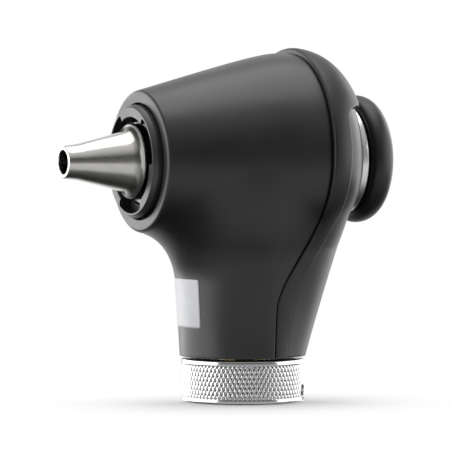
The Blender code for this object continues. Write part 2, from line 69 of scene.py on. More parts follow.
CAMERA_TURN = math.radians(64.2)      # 0 looks straight at the nose, and more looks from its +X side
CAMERA_AWAY = 1280.0
CAMERA_HEIGHT = 90.0
CAMERA_AIM = (-1.7, -3.7, 41.0)
CAMERA_LENS = 440.5
FLOOR_R, FLOOR_DROP = 500.0, 0.05
FLOOR_BLEND_START, FLOOR_BLEND_END = 14.0, 60.0


def make_camera():
    """A long lens, well away and a little above, that looks at the middle of the head."""
    data = bpy.data.cameras.new("camera")
    data.lens = CAMERA_LENS
    data.sensor_width = 36.0
    data.clip_end = 20.0
    camera = bpy.data.objects.new("camera", data)
    bpy.context.scene.collection.objects.link(camera)
    aim = Vector(CAMERA_AIM) + Vector((0.0, HANDLE_Y, 0.0))
    spot = Vector((CAMERA_AWAY * math.sin(CAMERA_TURN),
                   HANDLE_Y - CAMERA_AWAY * math.cos(CAMERA_TURN), CAMERA_HEIGHT))
    camera.location = spot * MM
    camera.rotation_euler = (aim - spot).to_track_quat("-Z", "Y").to_euler()
    bpy.context.scene.camera = camera


PANEL_AWAY, PANEL_AIM_Z = 480.0, 50.0


def soft_panel(name, turn, rise, width, height, radiance):
    """A soft box at a compass turn and height angle from the head, in degrees, facing it."""
    a, e = math.radians(turn), math.radians(rise)
    aim = Vector((0.0, HANDLE_Y, PANEL_AIM_Z))
    away = PANEL_AWAY * Vector((math.sin(a) * math.cos(e), -math.cos(a) * math.cos(e), math.sin(e)))
    data = bpy.data.lights.new(name, "AREA")
    data.shape = "RECTANGLE"
    data.size, data.size_y = width * MM, height * MM
    data.energy = radiance * math.pi * width * height * MM * MM
    light = bpy.data.objects.new(name, data)
    bpy.context.scene.collection.objects.link(light)
    light.location = (aim + away) * MM
    light.rotation_euler = (-away).to_track_quat("-Z", "Y").to_euler()
    light.visible_camera = False


def make_lights():
    soft_panel("top_panel", 245.0, 80.0, 560.0, 480.0, 2.3)
    soft_panel("nose_panel", -33.0, 8.0, 1160.0, 420.0, 2.8)
    soft_panel("rear_panel", 176.0, 10.0, 960.0, 420.0, 2.2)


FILL_LEVELS = ((-1.0, 0.12), (-0.82, 0.15), (-0.66, 0.66), (-0.16, 0.76), (-0.03, 0.20), (0.40, 0.08),
               (0.58, 0.40), (0.80, 0.70), (1.0, 0.85))     # (sine of the elevation, grey)
BRIGHT_TURN, BRIGHT_FROM, BRIGHT_FULL, DIM_SIDE = 75.0, -0.1, 0.5, 0.3
BACKDROP_TURN, BACKDROP_FROM, BACKDROP_FULL, BACKDROP_LEVEL = 244.0, 0.55, 0.90, 0.9


def facing(nodes, links, direction, turn, low, high, low_to, high_to):
    """How far a direction points to a compass turn in degrees: low_to at the cosine low, high_to at high."""
    dot = nodes.new("ShaderNodeVectorMath")
    dot.operation = "DOT_PRODUCT"
    a = math.radians(turn)
    dot.inputs[1].default_value = (math.sin(a), -math.cos(a), 0.0)
    links.new(direction, dot.inputs[0])
    reach = nodes.new("ShaderNodeMapRange")
    for key, number in (("From Min", low), ("From Max", high), ("To Min", low_to), ("To Max", high_to)):
        reach.inputs[key].default_value = number
    links.new(dot.outputs["Value"], reach.inputs["Value"])
    return reach.outputs["Result"]


def make_world():
    """White to the eye; to the object, a studio with a pale floor, a dim room and a white backdrop."""
    world = bpy.data.worlds.new("studio")
    bpy.context.scene.world = world
    world.use_nodes = True
    nodes, links = world.node_tree.nodes, world.node_tree.links
    nodes.clear()
    out = nodes.new("ShaderNodeOutputWorld")
    path = nodes.new("ShaderNodeLightPath")
    mix = nodes.new("ShaderNodeMixShader")
    seen = nodes.new("ShaderNodeBackground")
    fill = nodes.new("ShaderNodeBackground")
    seen.inputs["Color"].default_value = (1.0, 1.0, 1.0, 1.0)
    seen.inputs["Strength"].default_value = 1.0
    fill.inputs["Color"].default_value = (1.0, 1.0, 1.0, 1.0)
    direction = nodes.new("ShaderNodeTexCoord").outputs["Generated"]
    split = nodes.new("ShaderNodeSeparateXYZ")
    links.new(direction, split.inputs[0])
    level = nodes.new("ShaderNodeMapRange")
    level.inputs["From Min"].default_value = -1.0
    links.new(split.outputs["Z"], level.inputs["Value"])
    ramp = nodes.new("ShaderNodeValToRGB")
    stops = ramp.color_ramp.elements
    for sine, _ in FILL_LEVELS[1:-1]:
        stops.new(0.5 + 0.5 * sine)
    for stop, (sine, grey) in zip(stops, FILL_LEVELS):
        stop.position = 0.5 + 0.5 * sine
        stop.color = (grey, grey, grey, 1.0)
    links.new(level.outputs["Result"], ramp.inputs["Fac"])
    room = nodes.new("ShaderNodeMath")
    room.operation = "MULTIPLY_ADD"
    links.new(ramp.outputs["Color"], room.inputs[0])
    bright = facing(nodes, links, direction, BRIGHT_TURN, BRIGHT_FROM, BRIGHT_FULL, DIM_SIDE, 1.0)
    backdrop = facing(nodes, links, direction, BACKDROP_TURN, BACKDROP_FROM, BACKDROP_FULL, 0.0,
                      BACKDROP_LEVEL)
    links.new(bright, room.inputs[1])
    links.new(backdrop, room.inputs[2])
    links.new(room.outputs["Value"], fill.inputs["Strength"])
    links.new(path.outputs["Is Camera Ray"], mix.inputs[0])
    links.new(fill.outputs[0], mix.inputs[1])
    links.new(seen.outputs[0], mix.inputs[2])
    links.new(mix.outputs[0], out.inputs[0])


def make_floor(material):
    """A pale disc, which the white surround takes over from."""
    shape = bmesh.new()
    bmesh.ops.create_circle(shape, cap_ends=True, segments=96, radius=FLOOR_R * MM)
    mesh = bpy.data.meshes.new("floor")
    shape.to_mesh(mesh)
    shape.free()
    floor = bpy.data.objects.new("floor", mesh)
    bpy.context.scene.collection.objects.link(floor)
    mesh.materials.append(material)
    floor.location = (0.0, HANDLE_Y * MM, -FLOOR_DROP * MM)
    floor.visible_glossy = False
    floor.visible_diffuse = False


# ---- Materials -------------------------------------------------------------------------------------

class Paint:
    """A Principled material and the few node recipes that the pieces share."""

    def __init__(self, name, colour, roughness, metallic=0.0):
        self.material = bpy.data.materials.new(name)
        self.material.use_nodes = True
        tree = self.material.node_tree
        self.nodes, self.links = tree.nodes, tree.links
        self.shader = self.nodes["Principled BSDF"]
        self.shader.inputs["Base Color"].default_value = (*colour, 1.0)
        self.shader.inputs["Roughness"].default_value = roughness
        self.shader.inputs["Metallic"].default_value = metallic
        self.colour, self.roughness = colour, roughness
        self.place = self.nodes.new("ShaderNodeTexCoord").outputs["Object"]
        self.height = None

    def set(self, **values):
        """Set inputs of the shader, named with underscores for spaces."""
        for key, value in values.items():
            self.shader.inputs[key.replace("_", " ")].default_value = value
        return self

    def scaled(self, scale):
        mapping = self.nodes.new("ShaderNodeMapping")
        mapping.inputs["Scale"].default_value = scale
        self.links.new(self.place, mapping.inputs["Vector"])
        return mapping.outputs["Vector"]

    def noise(self, scale, detail=3.0, stretch=(1.0, 1.0, 1.0), rough=0.5):
        node = self.nodes.new("ShaderNodeTexNoise")
        node.inputs["Scale"].default_value = scale
        node.inputs["Detail"].default_value = detail
        node.inputs["Roughness"].default_value = rough
        self.links.new(self.scaled(stretch), node.inputs["Vector"])
        return node.outputs["Fac"]

    def ramp(self, value, low, high, low_to, high_to):
        node = self.nodes.new("ShaderNodeMapRange")
        for key, number in (("From Min", low), ("From Max", high), ("To Min", low_to), ("To Max", high_to)):
            node.inputs[key].default_value = number
        self.links.new(value, node.inputs["Value"])
        return node.outputs["Result"]

    def mix_colour(self, factor, other):
        node = self.nodes.new("ShaderNodeMix")
        node.data_type = "RGBA"
        node.inputs["A"].default_value = (*self.colour, 1.0)
        node.inputs["B"].default_value = (*other, 1.0)
        self.links.new(factor, node.inputs["Factor"])
        self.links.new(node.outputs["Result"], self.shader.inputs["Base Color"])
        return self

    def paint_shade_behind(self, start, end, share):
        """Paint shade into the colour: fade it, going back along Y from start to end in metres, down to a
        share of itself.
        """
        split = self.nodes.new("ShaderNodeSeparateXYZ")
        self.links.new(self.place, split.inputs[0])
        fade = self.ramp(split.outputs["Y"], start, end, 1.0, share)
        before = self.shader.inputs["Base Color"].links[0].from_socket
        scale = self.nodes.new("ShaderNodeVectorMath")
        scale.operation = "SCALE"
        self.links.new(before, scale.inputs[0])
        self.links.new(fade, scale.inputs["Scale"])
        self.links.new(scale.outputs["Vector"], self.shader.inputs["Base Color"])
        return self

    def vary_roughness(self, value, low, high, spread):
        self.links.new(self.ramp(value, low, high, self.roughness - spread, self.roughness + spread),
                       self.shader.inputs["Roughness"])
        return self

    def bump(self, value, distance_mm, strength=1.0):
        """Add a layer of bumps over those already there."""
        node = self.nodes.new("ShaderNodeBump")
        node.inputs["Distance"].default_value = distance_mm * MM
        node.inputs["Strength"].default_value = strength
        self.links.new(value, node.inputs["Height"])
        if self.height is not None:
            self.links.new(self.height, node.inputs["Normal"])
        self.height = node.outputs["Normal"]
        self.links.new(self.height, self.shader.inputs["Normal"])
        return self


HANDLING_SCALE, HANDLING_GLOSS, HANDLING_TINT = 90.0, 0.035, 1.35
WAVE_SCALE, WAVE_DEPTH, WAVE_STRENGTH = 160.0, 0.02, 0.25
DUST_SCALE, DUST_COLOUR = 2600.0, (0.16, 0.16, 0.16)
STAIN_SCALE, STAIN_SHARE, STAIN_TINT = 140.0, 0.35, 0.82


def moulded(name, colour, roughness, grain=0.02, grain_scale=3500.0, dust=0.0):
    """Moulded plastic or rubber: fine grain, slow waves, handling marks in the gloss, and dust if any."""
    paint = Paint(name, colour, roughness)
    handling = paint.noise(HANDLING_SCALE, 4.0)
    paint.vary_roughness(handling, 0.35, 0.65, HANDLING_GLOSS)
    paint.bump(paint.noise(grain_scale, 2.0), grain)
    paint.bump(paint.noise(WAVE_SCALE, 2.0), WAVE_DEPTH, WAVE_STRENGTH)
    if dust > 0.0:
        flecks = paint.ramp(paint.noise(DUST_SCALE, 3.0, rough=0.7), 0.62, 0.80, 0.0, dust)
        paint.mix_colour(flecks, DUST_COLOUR)
    else:
        tint = tuple(min(1.0, value * HANDLING_TINT) for value in colour)
        paint.mix_colour(paint.ramp(handling, 0.3, 0.7, 0.0, 1.0), tint)
    return paint


def turned_metal(name, colour, roughness, across=(60.0, 9000.0, 60.0), depth=0.004, spread=0.06):
    """Metal with fine tool lines round the turning axis, and streaks in its gloss."""
    paint = Paint(name, colour, roughness, 1.0)
    lines = paint.noise(1.0, 3.0, across, 0.65)
    paint.vary_roughness(lines, 0.35, 0.65, spread)
    paint.bump(lines, depth)
    stain = paint.ramp(paint.noise(STAIN_SCALE, 3.0), 0.35, 0.7, 0.0, STAIN_SHARE)
    darker = tuple(value * STAIN_TINT for value in colour)
    paint.mix_colour(stain, darker)
    return paint


def glass(name, tint):
    """Clear glass with a trace of smearing."""
    paint = Paint(name, tint, 0.02)
    paint.set(Transmission_Weight=1.0, IOR=1.5, Coat_Weight=0.3)
    paint.vary_roughness(paint.noise(300.0, 3.0), 0.4, 0.6, 0.01)
    return paint


# Painted shade on the steel cone: its colour fades darker towards the flared root, where the root would sit
# in shade.
CONE_ROOT_PAINTED_SHADE_START, CONE_ROOT_PAINTED_SHADE_END, CONE_ROOT_PAINTED_SHADE = -31.0, -29.2, 0.22

HOUSING = moulded("housing_front", (0.0090, 0.0090, 0.0104), 0.37, 0.012)
HOUSING.set(Specular_IOR_Level=0.62)
REAR = moulded("housing_rear", (0.0105, 0.0105, 0.0118), 0.36, 0.010)
REAR.set(Specular_IOR_Level=0.6)
BUMPER = moulded("bumper_rubber", (0.0095, 0.0094, 0.0092), 0.45, 0.022, 2600.0, 0.07)
RING_BLACK = moulded("ring_black", (0.0150, 0.0150, 0.0165), 0.38, 0.012)
RING_BLACK.set(Specular_IOR_Level=0.8)
EYECUP = moulded("eyecup_rubber", (0.0080, 0.0080, 0.0080), 0.44, 0.022, 2400.0, 0.08)
SEAL = moulded("seal_rubber", (0.0120, 0.0120, 0.0120), 0.55, 0.02)
BARREL = moulded("barrel_black", (0.0180, 0.0180, 0.0190), 0.38, 0.010)
FRAME_BLACK = moulded("frame_black", (0.0200, 0.0200, 0.0200), 0.5, 0.03)
SCREW_BLACK = moulded("screw_black", (0.0250, 0.0250, 0.0250), 0.35, 0.012)
SCREW_BLACK.set(Metallic=0.8)
CONE_STEEL = turned_metal("brushed_cone", (0.64, 0.63, 0.605), 0.21, (2600.0, 70.0, 2600.0), 0.0012)
# Painted shade: the cone's steel colour darkens going back along Y towards its root.
CONE_STEEL.paint_shade_behind((HANDLE_Y + CONE_ROOT_PAINTED_SHADE_START) * MM, (HANDLE_Y + CONE_ROOT_PAINTED_SHADE_END) * MM, CONE_ROOT_PAINTED_SHADE)
BARE_STEEL = turned_metal("bare_steel", (0.60, 0.59, 0.57), 0.30)
COLLAR = turned_metal("collar_metal", (0.60, 0.60, 0.605), 0.15, (80.0, 80.0, 7000.0), 0.002, 0.04)
FOCUS = turned_metal("focus_metal", (0.80, 0.80, 0.80), 0.24)
BRASS = turned_metal("lamp_brass", (0.74, 0.55, 0.27), 0.28, (80.0, 80.0, 6000.0))
LAMP_SILVER = turned_metal("lamp_silver", (0.80, 0.80, 0.80), 0.25, (80.0, 80.0, 6000.0))
FIBRE = moulded("fibre_white", (0.70, 0.70, 0.67), 0.35, 0.01)
LAMP_WHITE = moulded("lamp_white", (0.75, 0.74, 0.70), 0.45, 0.01)
LABEL = moulded("label_white", (0.50, 0.505, 0.52), 0.38, 0.004, 5000.0)
GLASS = glass("clear_glass", (0.93, 0.97, 0.98))

SLOT_PAINTS = {"housing_front": HOUSING, "housing_rear": REAR, "bumper_rubber": BUMPER,
               "ring_black": RING_BLACK, "eyecup_rubber": EYECUP, "seal_rubber": SEAL,
               "barrel_black": BARREL, "frame_black": FRAME_BLACK, "screw_black": SCREW_BLACK,
               "brushed_cone": CONE_STEEL, "bare_steel": BARE_STEEL, "collar_metal": COLLAR,
               "focus_metal": FOCUS, "lamp_brass": BRASS, "lamp_silver": LAMP_SILVER,
               "fibre_white": FIBRE, "lamp_white": LAMP_WHITE, "clear_glass": GLASS}


def floor_material():
    """Matt white near the head, which turns to the surround's plain white further out."""
    paint = Paint("floor_white", (0.90, 0.90, 0.90), 0.8)
    paint.bump(paint.noise(400.0, 3.0), 0.02, 0.3)
    away = paint.nodes.new("ShaderNodeVectorMath")
    away.operation = "LENGTH"
    paint.links.new(paint.place, away.inputs[0])
    glow = paint.nodes.new("ShaderNodeEmission")
    mix = paint.nodes.new("ShaderNodeMixShader")
    share = paint.ramp(away.outputs["Value"], FLOOR_BLEND_START * MM, FLOOR_BLEND_END * MM, 0.0, 1.0)
    paint.links.new(share, mix.inputs[0])
    paint.links.new(paint.shader.outputs[0], mix.inputs[1])
    paint.links.new(glow.outputs[0], mix.inputs[2])
    paint.links.new(mix.outputs[0], paint.nodes["Material Output"].inputs["Surface"])
    return paint.material


make_camera()
make_world()
make_floor(floor_material())


# ---- Mesh helpers ----------------------------------------------------------------------------------

SHARP_ANGLE, KNURL_SHARP_ANGLE, FRAME_SHARP_ANGLE = 40.0, 50.0, 35.0


def shade(piece, sharp):
    """Smooth shading, with hard edges where faces meet at more than sharp degrees."""
    piece.data.shade_smooth()
    piece.data.set_sharp_from_angle(angle=math.radians(sharp))


def object_from(name, points_mm, faces):
    """A mesh object in the frame from points in millimetres round the handle's axis."""
    mesh = bpy.data.meshes.new(name)
    world = (np.asarray(points_mm, dtype=float) + (0.0, HANDLE_Y, 0.0)) * MM
    mesh.from_pydata(world.tolist(), [], faces)
    mesh.update()
    item = bpy.data.objects.new(name, mesh)
    bpy.context.scene.collection.objects.link(item)
    return item


def piece_from(name, points_mm, faces, paint, body, replaces, sharp=SHARP_ANGLE):
    """A painted piece of the head, which rides a body and may stand in for frame nodes."""
    piece = object_from(name, points_mm, faces)
    shade(piece, sharp)
    piece.data.materials.append(paint.material)
    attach(piece, body)
    if replaces:
        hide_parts(*replaces)
    return piece


def rounded(corners, arc_steps=6):
    """Round each (radius, height, fillet) corner of a closed outline."""
    outline = []
    count = len(corners)
    for i, (r, h, fillet) in enumerate(corners):
        if fillet == 0.0:
            outline.append((r, h))
            continue
        here = np.array((r, h))
        before = np.array(corners[i - 1][:2]) - here
        after = np.array(corners[(i + 1) % count][:2]) - here
        before /= np.linalg.norm(before)
        after /= np.linalg.norm(after)
        half = 0.5 * math.acos(float(np.clip(before @ after, -1.0, 1.0)))
        middle = here + (before + after) / np.linalg.norm(before + after) * fillet / math.sin(half)
        start = here + before * fillet / math.tan(half) - middle
        sweep = math.pi - 2.0 * half
        side = math.copysign(1.0, before[1] * after[0] - before[0] * after[1])
        for k in range(arc_steps + 1):
            angle = side * sweep * k / arc_steps
            turn = np.array(((math.cos(angle), -math.sin(angle)), (math.sin(angle), math.cos(angle))))
            outline.append(tuple(middle + turn @ start))
    return outline


def lathe_points(outline, steps, along_y):
    """Points of a closed outline of (radius, height) turned about the optical or the handle's axis."""
    points = []
    for radius, height in outline:
        for k in range(steps):
            angle = 2.0 * math.pi * k / steps
            u, v = radius * math.cos(angle), radius * math.sin(angle)
            points.append((v, height, OPTIC_Z + u) if along_y else (u, v, height))
    return points


def lathe_faces(rings, steps):
    """Four-sided faces round a turned outline that closes on itself."""
    faces = []
    for r in range(rings):
        for k in range(steps):
            a, b = r * steps + k, r * steps + (k + 1) % steps
            c, d = (r + 1) % rings * steps + (k + 1) % steps, (r + 1) % rings * steps + k
            faces.append((a, d, c, b))
    return faces


def lathe(name, outline, paint, body, replaces, steps):
    """A piece turned about the optical axis."""
    points = lathe_points(outline, steps, True)
    return piece_from(name, points, lathe_faces(len(outline), steps), paint, body, replaces)


def face_out(piece):
    """Turn the faces of a closed mesh outwards."""
    shape = bmesh.new()
    shape.from_mesh(piece.data)
    bmesh.ops.recalc_face_normals(shape, faces=shape.faces)
    shape.to_mesh(piece.data)
    shape.free()
    return piece


def cut(piece, cutters, sharp=SHARP_ANGLE):
    """Take the cutters out of a piece for good, remove them, and shade the piece again."""
    for cutter in cutters:
        modifier = piece.modifiers.new("cut", "BOOLEAN")
        modifier.solver = "EXACT"
        modifier.object = cutter
    settle_modifiers(piece)
    for cutter in cutters:
        bpy.data.objects.remove(cutter, do_unlink=True)
    shade(piece, sharp)
    return piece


def settle_modifiers(piece):
    """Swap the piece's mesh for its evaluated one, and drop its modifiers."""
    graph = bpy.context.evaluated_depsgraph_get()
    mesh = bpy.data.meshes.new_from_object(piece.evaluated_get(graph))
    old = piece.data
    piece.modifiers.clear()
    piece.data = mesh
    bpy.data.meshes.remove(old)
    mesh.name = piece.name


# ---- The housing's surface, as in the frame but finer ------------------------------------------------

SHELL_T, GAP = 1.5, 0.3
NOSE_Y, NOSE_R, CONE_SLOPE = -24.2, 16.94, 0.269
HEAD_R, HEAD_SOFT = 26.84, 1.72
DOME_Y, DOME_DEPTH, DOME_POWER, CHIN_DROP, CHIN_FULL_Y = 0.6, 24.2, 3.2, 0.22, 16.0
NECK_R, NECK_FOOT = 14.66, 10.7
NECK_TOP, NECK_FADE = 36.9, 0.03
NECK_FRONT_SLOPE, NECK_BACK_SLOPE, NECK_BACK_MAX, NECK_BACK_SOFT = 0.0524, 0.332, 27.9, 1.0
NECK_SIDE_SLOPE, NECK_SIDE_FLARE = 0.03, 0.0042
FRONT_FILLET, BACK_FILLET, FILLET_FRONT_Y, FILLET_BACK_Y = 9.8, 3.8, -8.0, 10.0
SEAM_LOW, SEAM_HIGH, SEAM_START, SEAM_END, SEAM_LEAN = 1.35, 9.6, 22.1, 44.0, 0.038
EYE_HOLE_R = 13.9
BUMPER_W, BUMPER_W_FOOT, BUMPER_W_TOP = 4.9, 3.4, 26.0
BUMPER_PROUD, BUMPER_PROUD_FOOT = 1.45, 0.3
BROW_REACH, BROW_START, BROW_END = 6.6, 0.235, 0.335
ARCH_R, ARCH_TURN = 25.0, math.radians(115)
ARCH_STEPS, FOOT_STEPS, ROWS = 128, 40, 64
SKIN_GAP = 0.4 * GAP                  # from the seam's line to a skin or to the bumper, on each side
LIP_BORE_R, LIP_Y, LIP_ROUND, LIP_BEND_R, LIP_BEND_END = 13.6, -26.6, 1.0, 15.53, 75.0
EDGE_BEVEL, EDGE_BEVEL_ANGLE, EDGE_BEVEL_STEPS = 0.22, 50.0, 3


def soft_min(a, b, width):
    """The smaller of two numbers, with a rounded changeover."""
    return -width * np.log(np.exp(-a / width) + np.exp(-b / width))


def fillet_min(a, b, width):
    """The smaller of two numbers, less a bulge where they differ by under width."""
    near = np.maximum(width - np.abs(a - b), 0.0) / width
    return np.minimum(a, b) - near * near * width / 4.0


def smooth_step(low, high, value):
    t = np.clip((value - low) / (high - low), 0.0, 1.0)
    return t * t * (3.0 - 2.0 * t)


def head_field(x, y, z):
    """Below zero inside the head, which is turned about the optical axis."""
    cone = NOSE_R + CONE_SLOPE * (y - NOSE_Y)
    radius = soft_min(cone, HEAD_R, HEAD_SOFT)
    rise = z - OPTIC_Z
    chin = np.where(rise < 0.0, 1.0 + CHIN_DROP * smooth_step(0.0, CHIN_FULL_Y, y), 1.0)
    across = np.hypot(x, rise * chin) / radius
    along = np.maximum((y - DOME_Y) / DOME_DEPTH, 0.0)
    reach = (across ** DOME_POWER + along ** DOME_POWER) ** (1.0 / DOME_POWER)
    return (reach - 1.0) * radius


def neck_field(x, y, z):
    """Below zero inside the neck, whose level sections are two half ellipses."""
    rise = z - NECK_FOOT
    front = NECK_R + NECK_FRONT_SLOPE * rise
    back = soft_min(NECK_R + NECK_BACK_SLOPE * rise, NECK_BACK_MAX, NECK_BACK_SOFT)
    half_width = NECK_R + NECK_SIDE_SLOPE * rise + NECK_SIDE_FLARE * rise * rise
    depth = np.where(y < 0.0, front, back)
    reach = np.hypot(x / half_width, y / depth)
    fade = NECK_FADE * np.maximum(z - NECK_TOP, 0.0) ** 2
    return (reach - 1.0) * np.minimum(half_width, depth) + fade


def body_field(points):
    """Below zero inside the housing: the head and the neck, blended more widely in front."""
    x, y, z = points.T
    width = FRONT_FILLET + (BACK_FILLET - FRONT_FILLET) * smooth_step(FILLET_FRONT_Y, FILLET_BACK_Y, y)
    return fillet_min(head_field(x, y, z), neck_field(x, y, z), width)


def slope(points, step=0.02):
    """The direction in which the housing's field grows, which points out of its surface."""
    columns = []
    for axis in range(3):
        shift = np.zeros(3)
        shift[axis] = step
        columns.append((body_field(points + shift) - body_field(points - shift)) / (2.0 * step))
    return np.stack(columns, axis=1)


def settle(points, free=(1.0, 1.0, 1.0), rounds=14, longest=3.0):
    """Move points onto the body's surface, along the directions that are free."""
    points = np.array(points, dtype=float)
    for _ in range(rounds):
        direction = slope(points) * np.array(free)
        size = np.maximum((direction ** 2).sum(axis=1), 1e-6)
        move = -direction * (body_field(points) / size)[:, None]
        length = np.maximum(np.linalg.norm(move, axis=1), 1e-9)
        points += move * np.minimum(1.0, longest / length)[:, None]
    return points


def seam_y(z):
    """The front shell's rear edge: nearly upright on the head, and further forward on the neck."""
    lean = SEAM_LEAN * np.maximum(z - SEAM_START, 0.0)
    return SEAM_LOW + (SEAM_HIGH - SEAM_LOW) * smooth_step(SEAM_START, SEAM_END, z) + lean


def bumper_back_y(z, t):
    """The bumper's rear edge, which reaches back over the top as a brow."""
    width = BUMPER_W_FOOT + (BUMPER_W - BUMPER_W_FOOT) * smooth_step(NECK_FOOT, BUMPER_W_TOP, z)
    brow = BROW_REACH * (1.0 - smooth_step(BROW_START, BROW_END, t))
    return seam_y(z) + width + brow


def arch_guide(t):
    """(x, z) near the housing's outline, from its top (0) down the +X side to the neck's foot (1)."""
    arc = ARCH_R * ARCH_TURN
    end = np.array((ARCH_R * math.sin(ARCH_TURN), OPTIC_Z + ARCH_R * math.cos(ARCH_TURN)))
    foot = np.array((NECK_R, NECK_FOOT))
    leg = float(np.linalg.norm(foot - end))
    run = t * (arc + leg)
    if run < arc:
        angle = run / ARCH_R
        return np.array((ARCH_R * math.sin(angle), OPTIC_Z + ARCH_R * math.cos(angle)))
    return end + (foot - end) * (run - arc) / leg


STATIONS = np.arange(ARCH_STEPS + 1) / ARCH_STEPS


def arch_edge(edge_y):
    """Points on the surface along the arch, each at the Y that edge_y gives for its (z, t)."""
    guide = np.array([arch_guide(t) for t in STATIONS])
    points = np.stack((guide[:, 0], np.zeros(len(guide)), guide[:, 1]), axis=1)
    for _ in range(8):
        points[:, 1] = edge_y(points[:, 2], STATIONS)
        moved = settle(points, (1.0, 0.0, 1.0), rounds=4)
        moved[-1] = settle(points[-1:], (1.0, 0.0, 0.0), rounds=4)[0]
        points = moved
    points[0, 0] = 0.0
    return points


def foot_arc(corner, side):
    """Points on the neck's foot from the corner to the middle of the front (-1) or the rear (1)."""
    start = math.atan2(corner[0], side * corner[1])
    angles = start * (1.0 - np.arange(1, FOOT_STEPS + 1) / FOOT_STEPS)
    ring = np.stack((NECK_R * np.sin(angles), side * NECK_R * np.cos(angles),
                     np.full(FOOT_STEPS, NECK_FOOT)), axis=1)
    return settle(ring, (1.0, 1.0, 0.0))


def ring_row(radius, y, angles):
    """Points of a ring about the optical axis, at angles from straight up."""
    return np.stack((radius * np.sin(angles), np.full(len(angles), y), OPTIC_Z + radius * np.cos(angles)),
                    axis=1)


def half_shell(inner_rows, outer):
    """Half of a ring-shaped skin, from rows of points near the optical axis out to a free-form edge."""
    count = len(outer)
    rows = list(inner_rows)
    start = rows[-1]
    for k in range(1, ROWS):
        rows.append(settle(start + (outer - start) * k / ROWS))
    rows.append(outer)
    points = np.concatenate(rows)
    points[0::count, 0] = 0.0
    points[count - 1::count, 0] = 0.0
    return points, grid_faces(len(rows), count)


def grid_faces(rows, columns):
    """Four-sided faces over an open grid of points, row by row."""
    faces = []
    for r in range(rows - 1):
        for c in range(columns - 1):
            a = r * columns + c
            faces.append((a, a + 1, a + columns + 1, a + columns))
    return faces


def mirrored(piece):
    """Complete a piece of the +X side with its -X side."""
    mirror = piece.modifiers.new("other_side", "MIRROR")
    mirror.merge_threshold = 1e-5
    return piece


def shell(node, points, faces, paint, flip):
    """A skin of the housing given its wall inwards, with soft edges; flip turns its faces outwards."""
    if flip:
        faces = [tuple(reversed(face)) for face in faces]
    piece = mirrored(piece_from(node + "_skin", points, faces, paint, "housing", (node,)))
    wall = piece.modifiers.new("wall", "SOLIDIFY")
    wall.thickness = SHELL_T * MM
    wall.offset = -1.0
    wall.use_even_offset = True
    bevel = piece.modifiers.new("soft_edges", "BEVEL")
    bevel.width = EDGE_BEVEL * MM
    bevel.segments = EDGE_BEVEL_STEPS
    bevel.limit_method = "ANGLE"
    bevel.angle_limit = math.radians(EDGE_BEVEL_ANGLE)
    return piece


def lip_rows(steps=10):
    """(radius, y) of the nose's lip, from its bore over the flat and round the bend to the skin."""
    rows = [(LIP_BORE_R, LIP_Y), (LIP_BORE_R + 0.6, LIP_Y), (LIP_BORE_R + 1.3, LIP_Y)]
    for k in range(steps + 1):
        angle = math.radians(LIP_BEND_END * k / steps)
        rows.append((LIP_BEND_R + LIP_ROUND * math.sin(angle), LIP_Y + LIP_ROUND * (1.0 - math.cos(angle))))
    return rows + [(NOSE_R, NOSE_Y)]


def build_front_shell():
    """The skin from the nose's lip back to the seam, open at the neck's foot."""
    outer_edge = arch_edge(lambda z, t: seam_y(z) - SKIN_GAP)
    outer = np.concatenate((outer_edge, foot_arc(outer_edge[-1], -1.0)))
    lip = lip_rows()
    angles = np.linspace(0.0, np.pi, len(outer))
    points, faces = half_shell([ring_row(radius, y, angles) for radius, y in lip], outer)
    return shell("front_shell", points, faces, HOUSING, False)


def build_rear_cover():
    """The skin from the eyepiece's hole forward to the bumper; its angles under the brow follow the edge."""
    edge = arch_edge(lambda z, t: bumper_back_y(z, t) + SKIN_GAP)
    outer = np.concatenate((edge, foot_arc(edge[-1], 1.0)))
    hole_depth = 1.0 - (EYE_HOLE_R / HEAD_R) ** DOME_POWER
    hole_y = DOME_Y + DOME_DEPTH * hole_depth ** (1.0 / DOME_POWER)
    brow_steps = math.ceil(BROW_END * ARCH_STEPS)
    angles = np.arctan2(edge[:brow_steps, 0], edge[:brow_steps, 2] - OPTIC_Z)
    angles = np.concatenate((angles, np.linspace(angles[-1], np.pi, len(outer) - brow_steps + 1)[1:]))
    ring = settle(ring_row(EYE_HOLE_R, hole_y, angles), (0.0, 1.0, 0.0))
    points, faces = half_shell([ring], outer)
    return shell("rear_cover", points, faces, REAR, True)


BUMPER_EDGE, BUMPER_SHOULDER, BUMPER_FRONT_WALL, BUMPER_BACK_WALL = 0.13, 0.94, 0.48, 0.44
BUMPER_FADE_START, BUMPER_FADE_END = 0.42, 0.85


def bumper_section(steps_edge=6, steps_top=16):
    """(across, lift) pairs, as shares: up the front edge, over the crown and down the rear edge."""
    quarter = [0.5 * math.pi * k / steps_edge for k in range(steps_edge + 1)]
    front_rise = BUMPER_SHOULDER - BUMPER_FRONT_WALL
    back_rise = BUMPER_SHOULDER - BUMPER_BACK_WALL
    section = [(0.0, -1.0)]
    for angle in quarter:
        across = BUMPER_EDGE * (1.0 - math.cos(angle))
        section.append((across, BUMPER_FRONT_WALL + front_rise * math.sin(angle)))
    for k in range(1, steps_top):
        t = k / steps_top
        crown = (1.0 - BUMPER_SHOULDER) * math.sin(math.pi * t)
        section.append((BUMPER_EDGE + (1.0 - 2.0 * BUMPER_EDGE) * t, BUMPER_SHOULDER + crown))
    for angle in quarter:
        across = 1.0 - BUMPER_EDGE * (1.0 - math.sin(angle))
        section.append((across, BUMPER_BACK_WALL + back_rise * math.cos(angle)))
    section.append((1.0, -1.0))
    return section


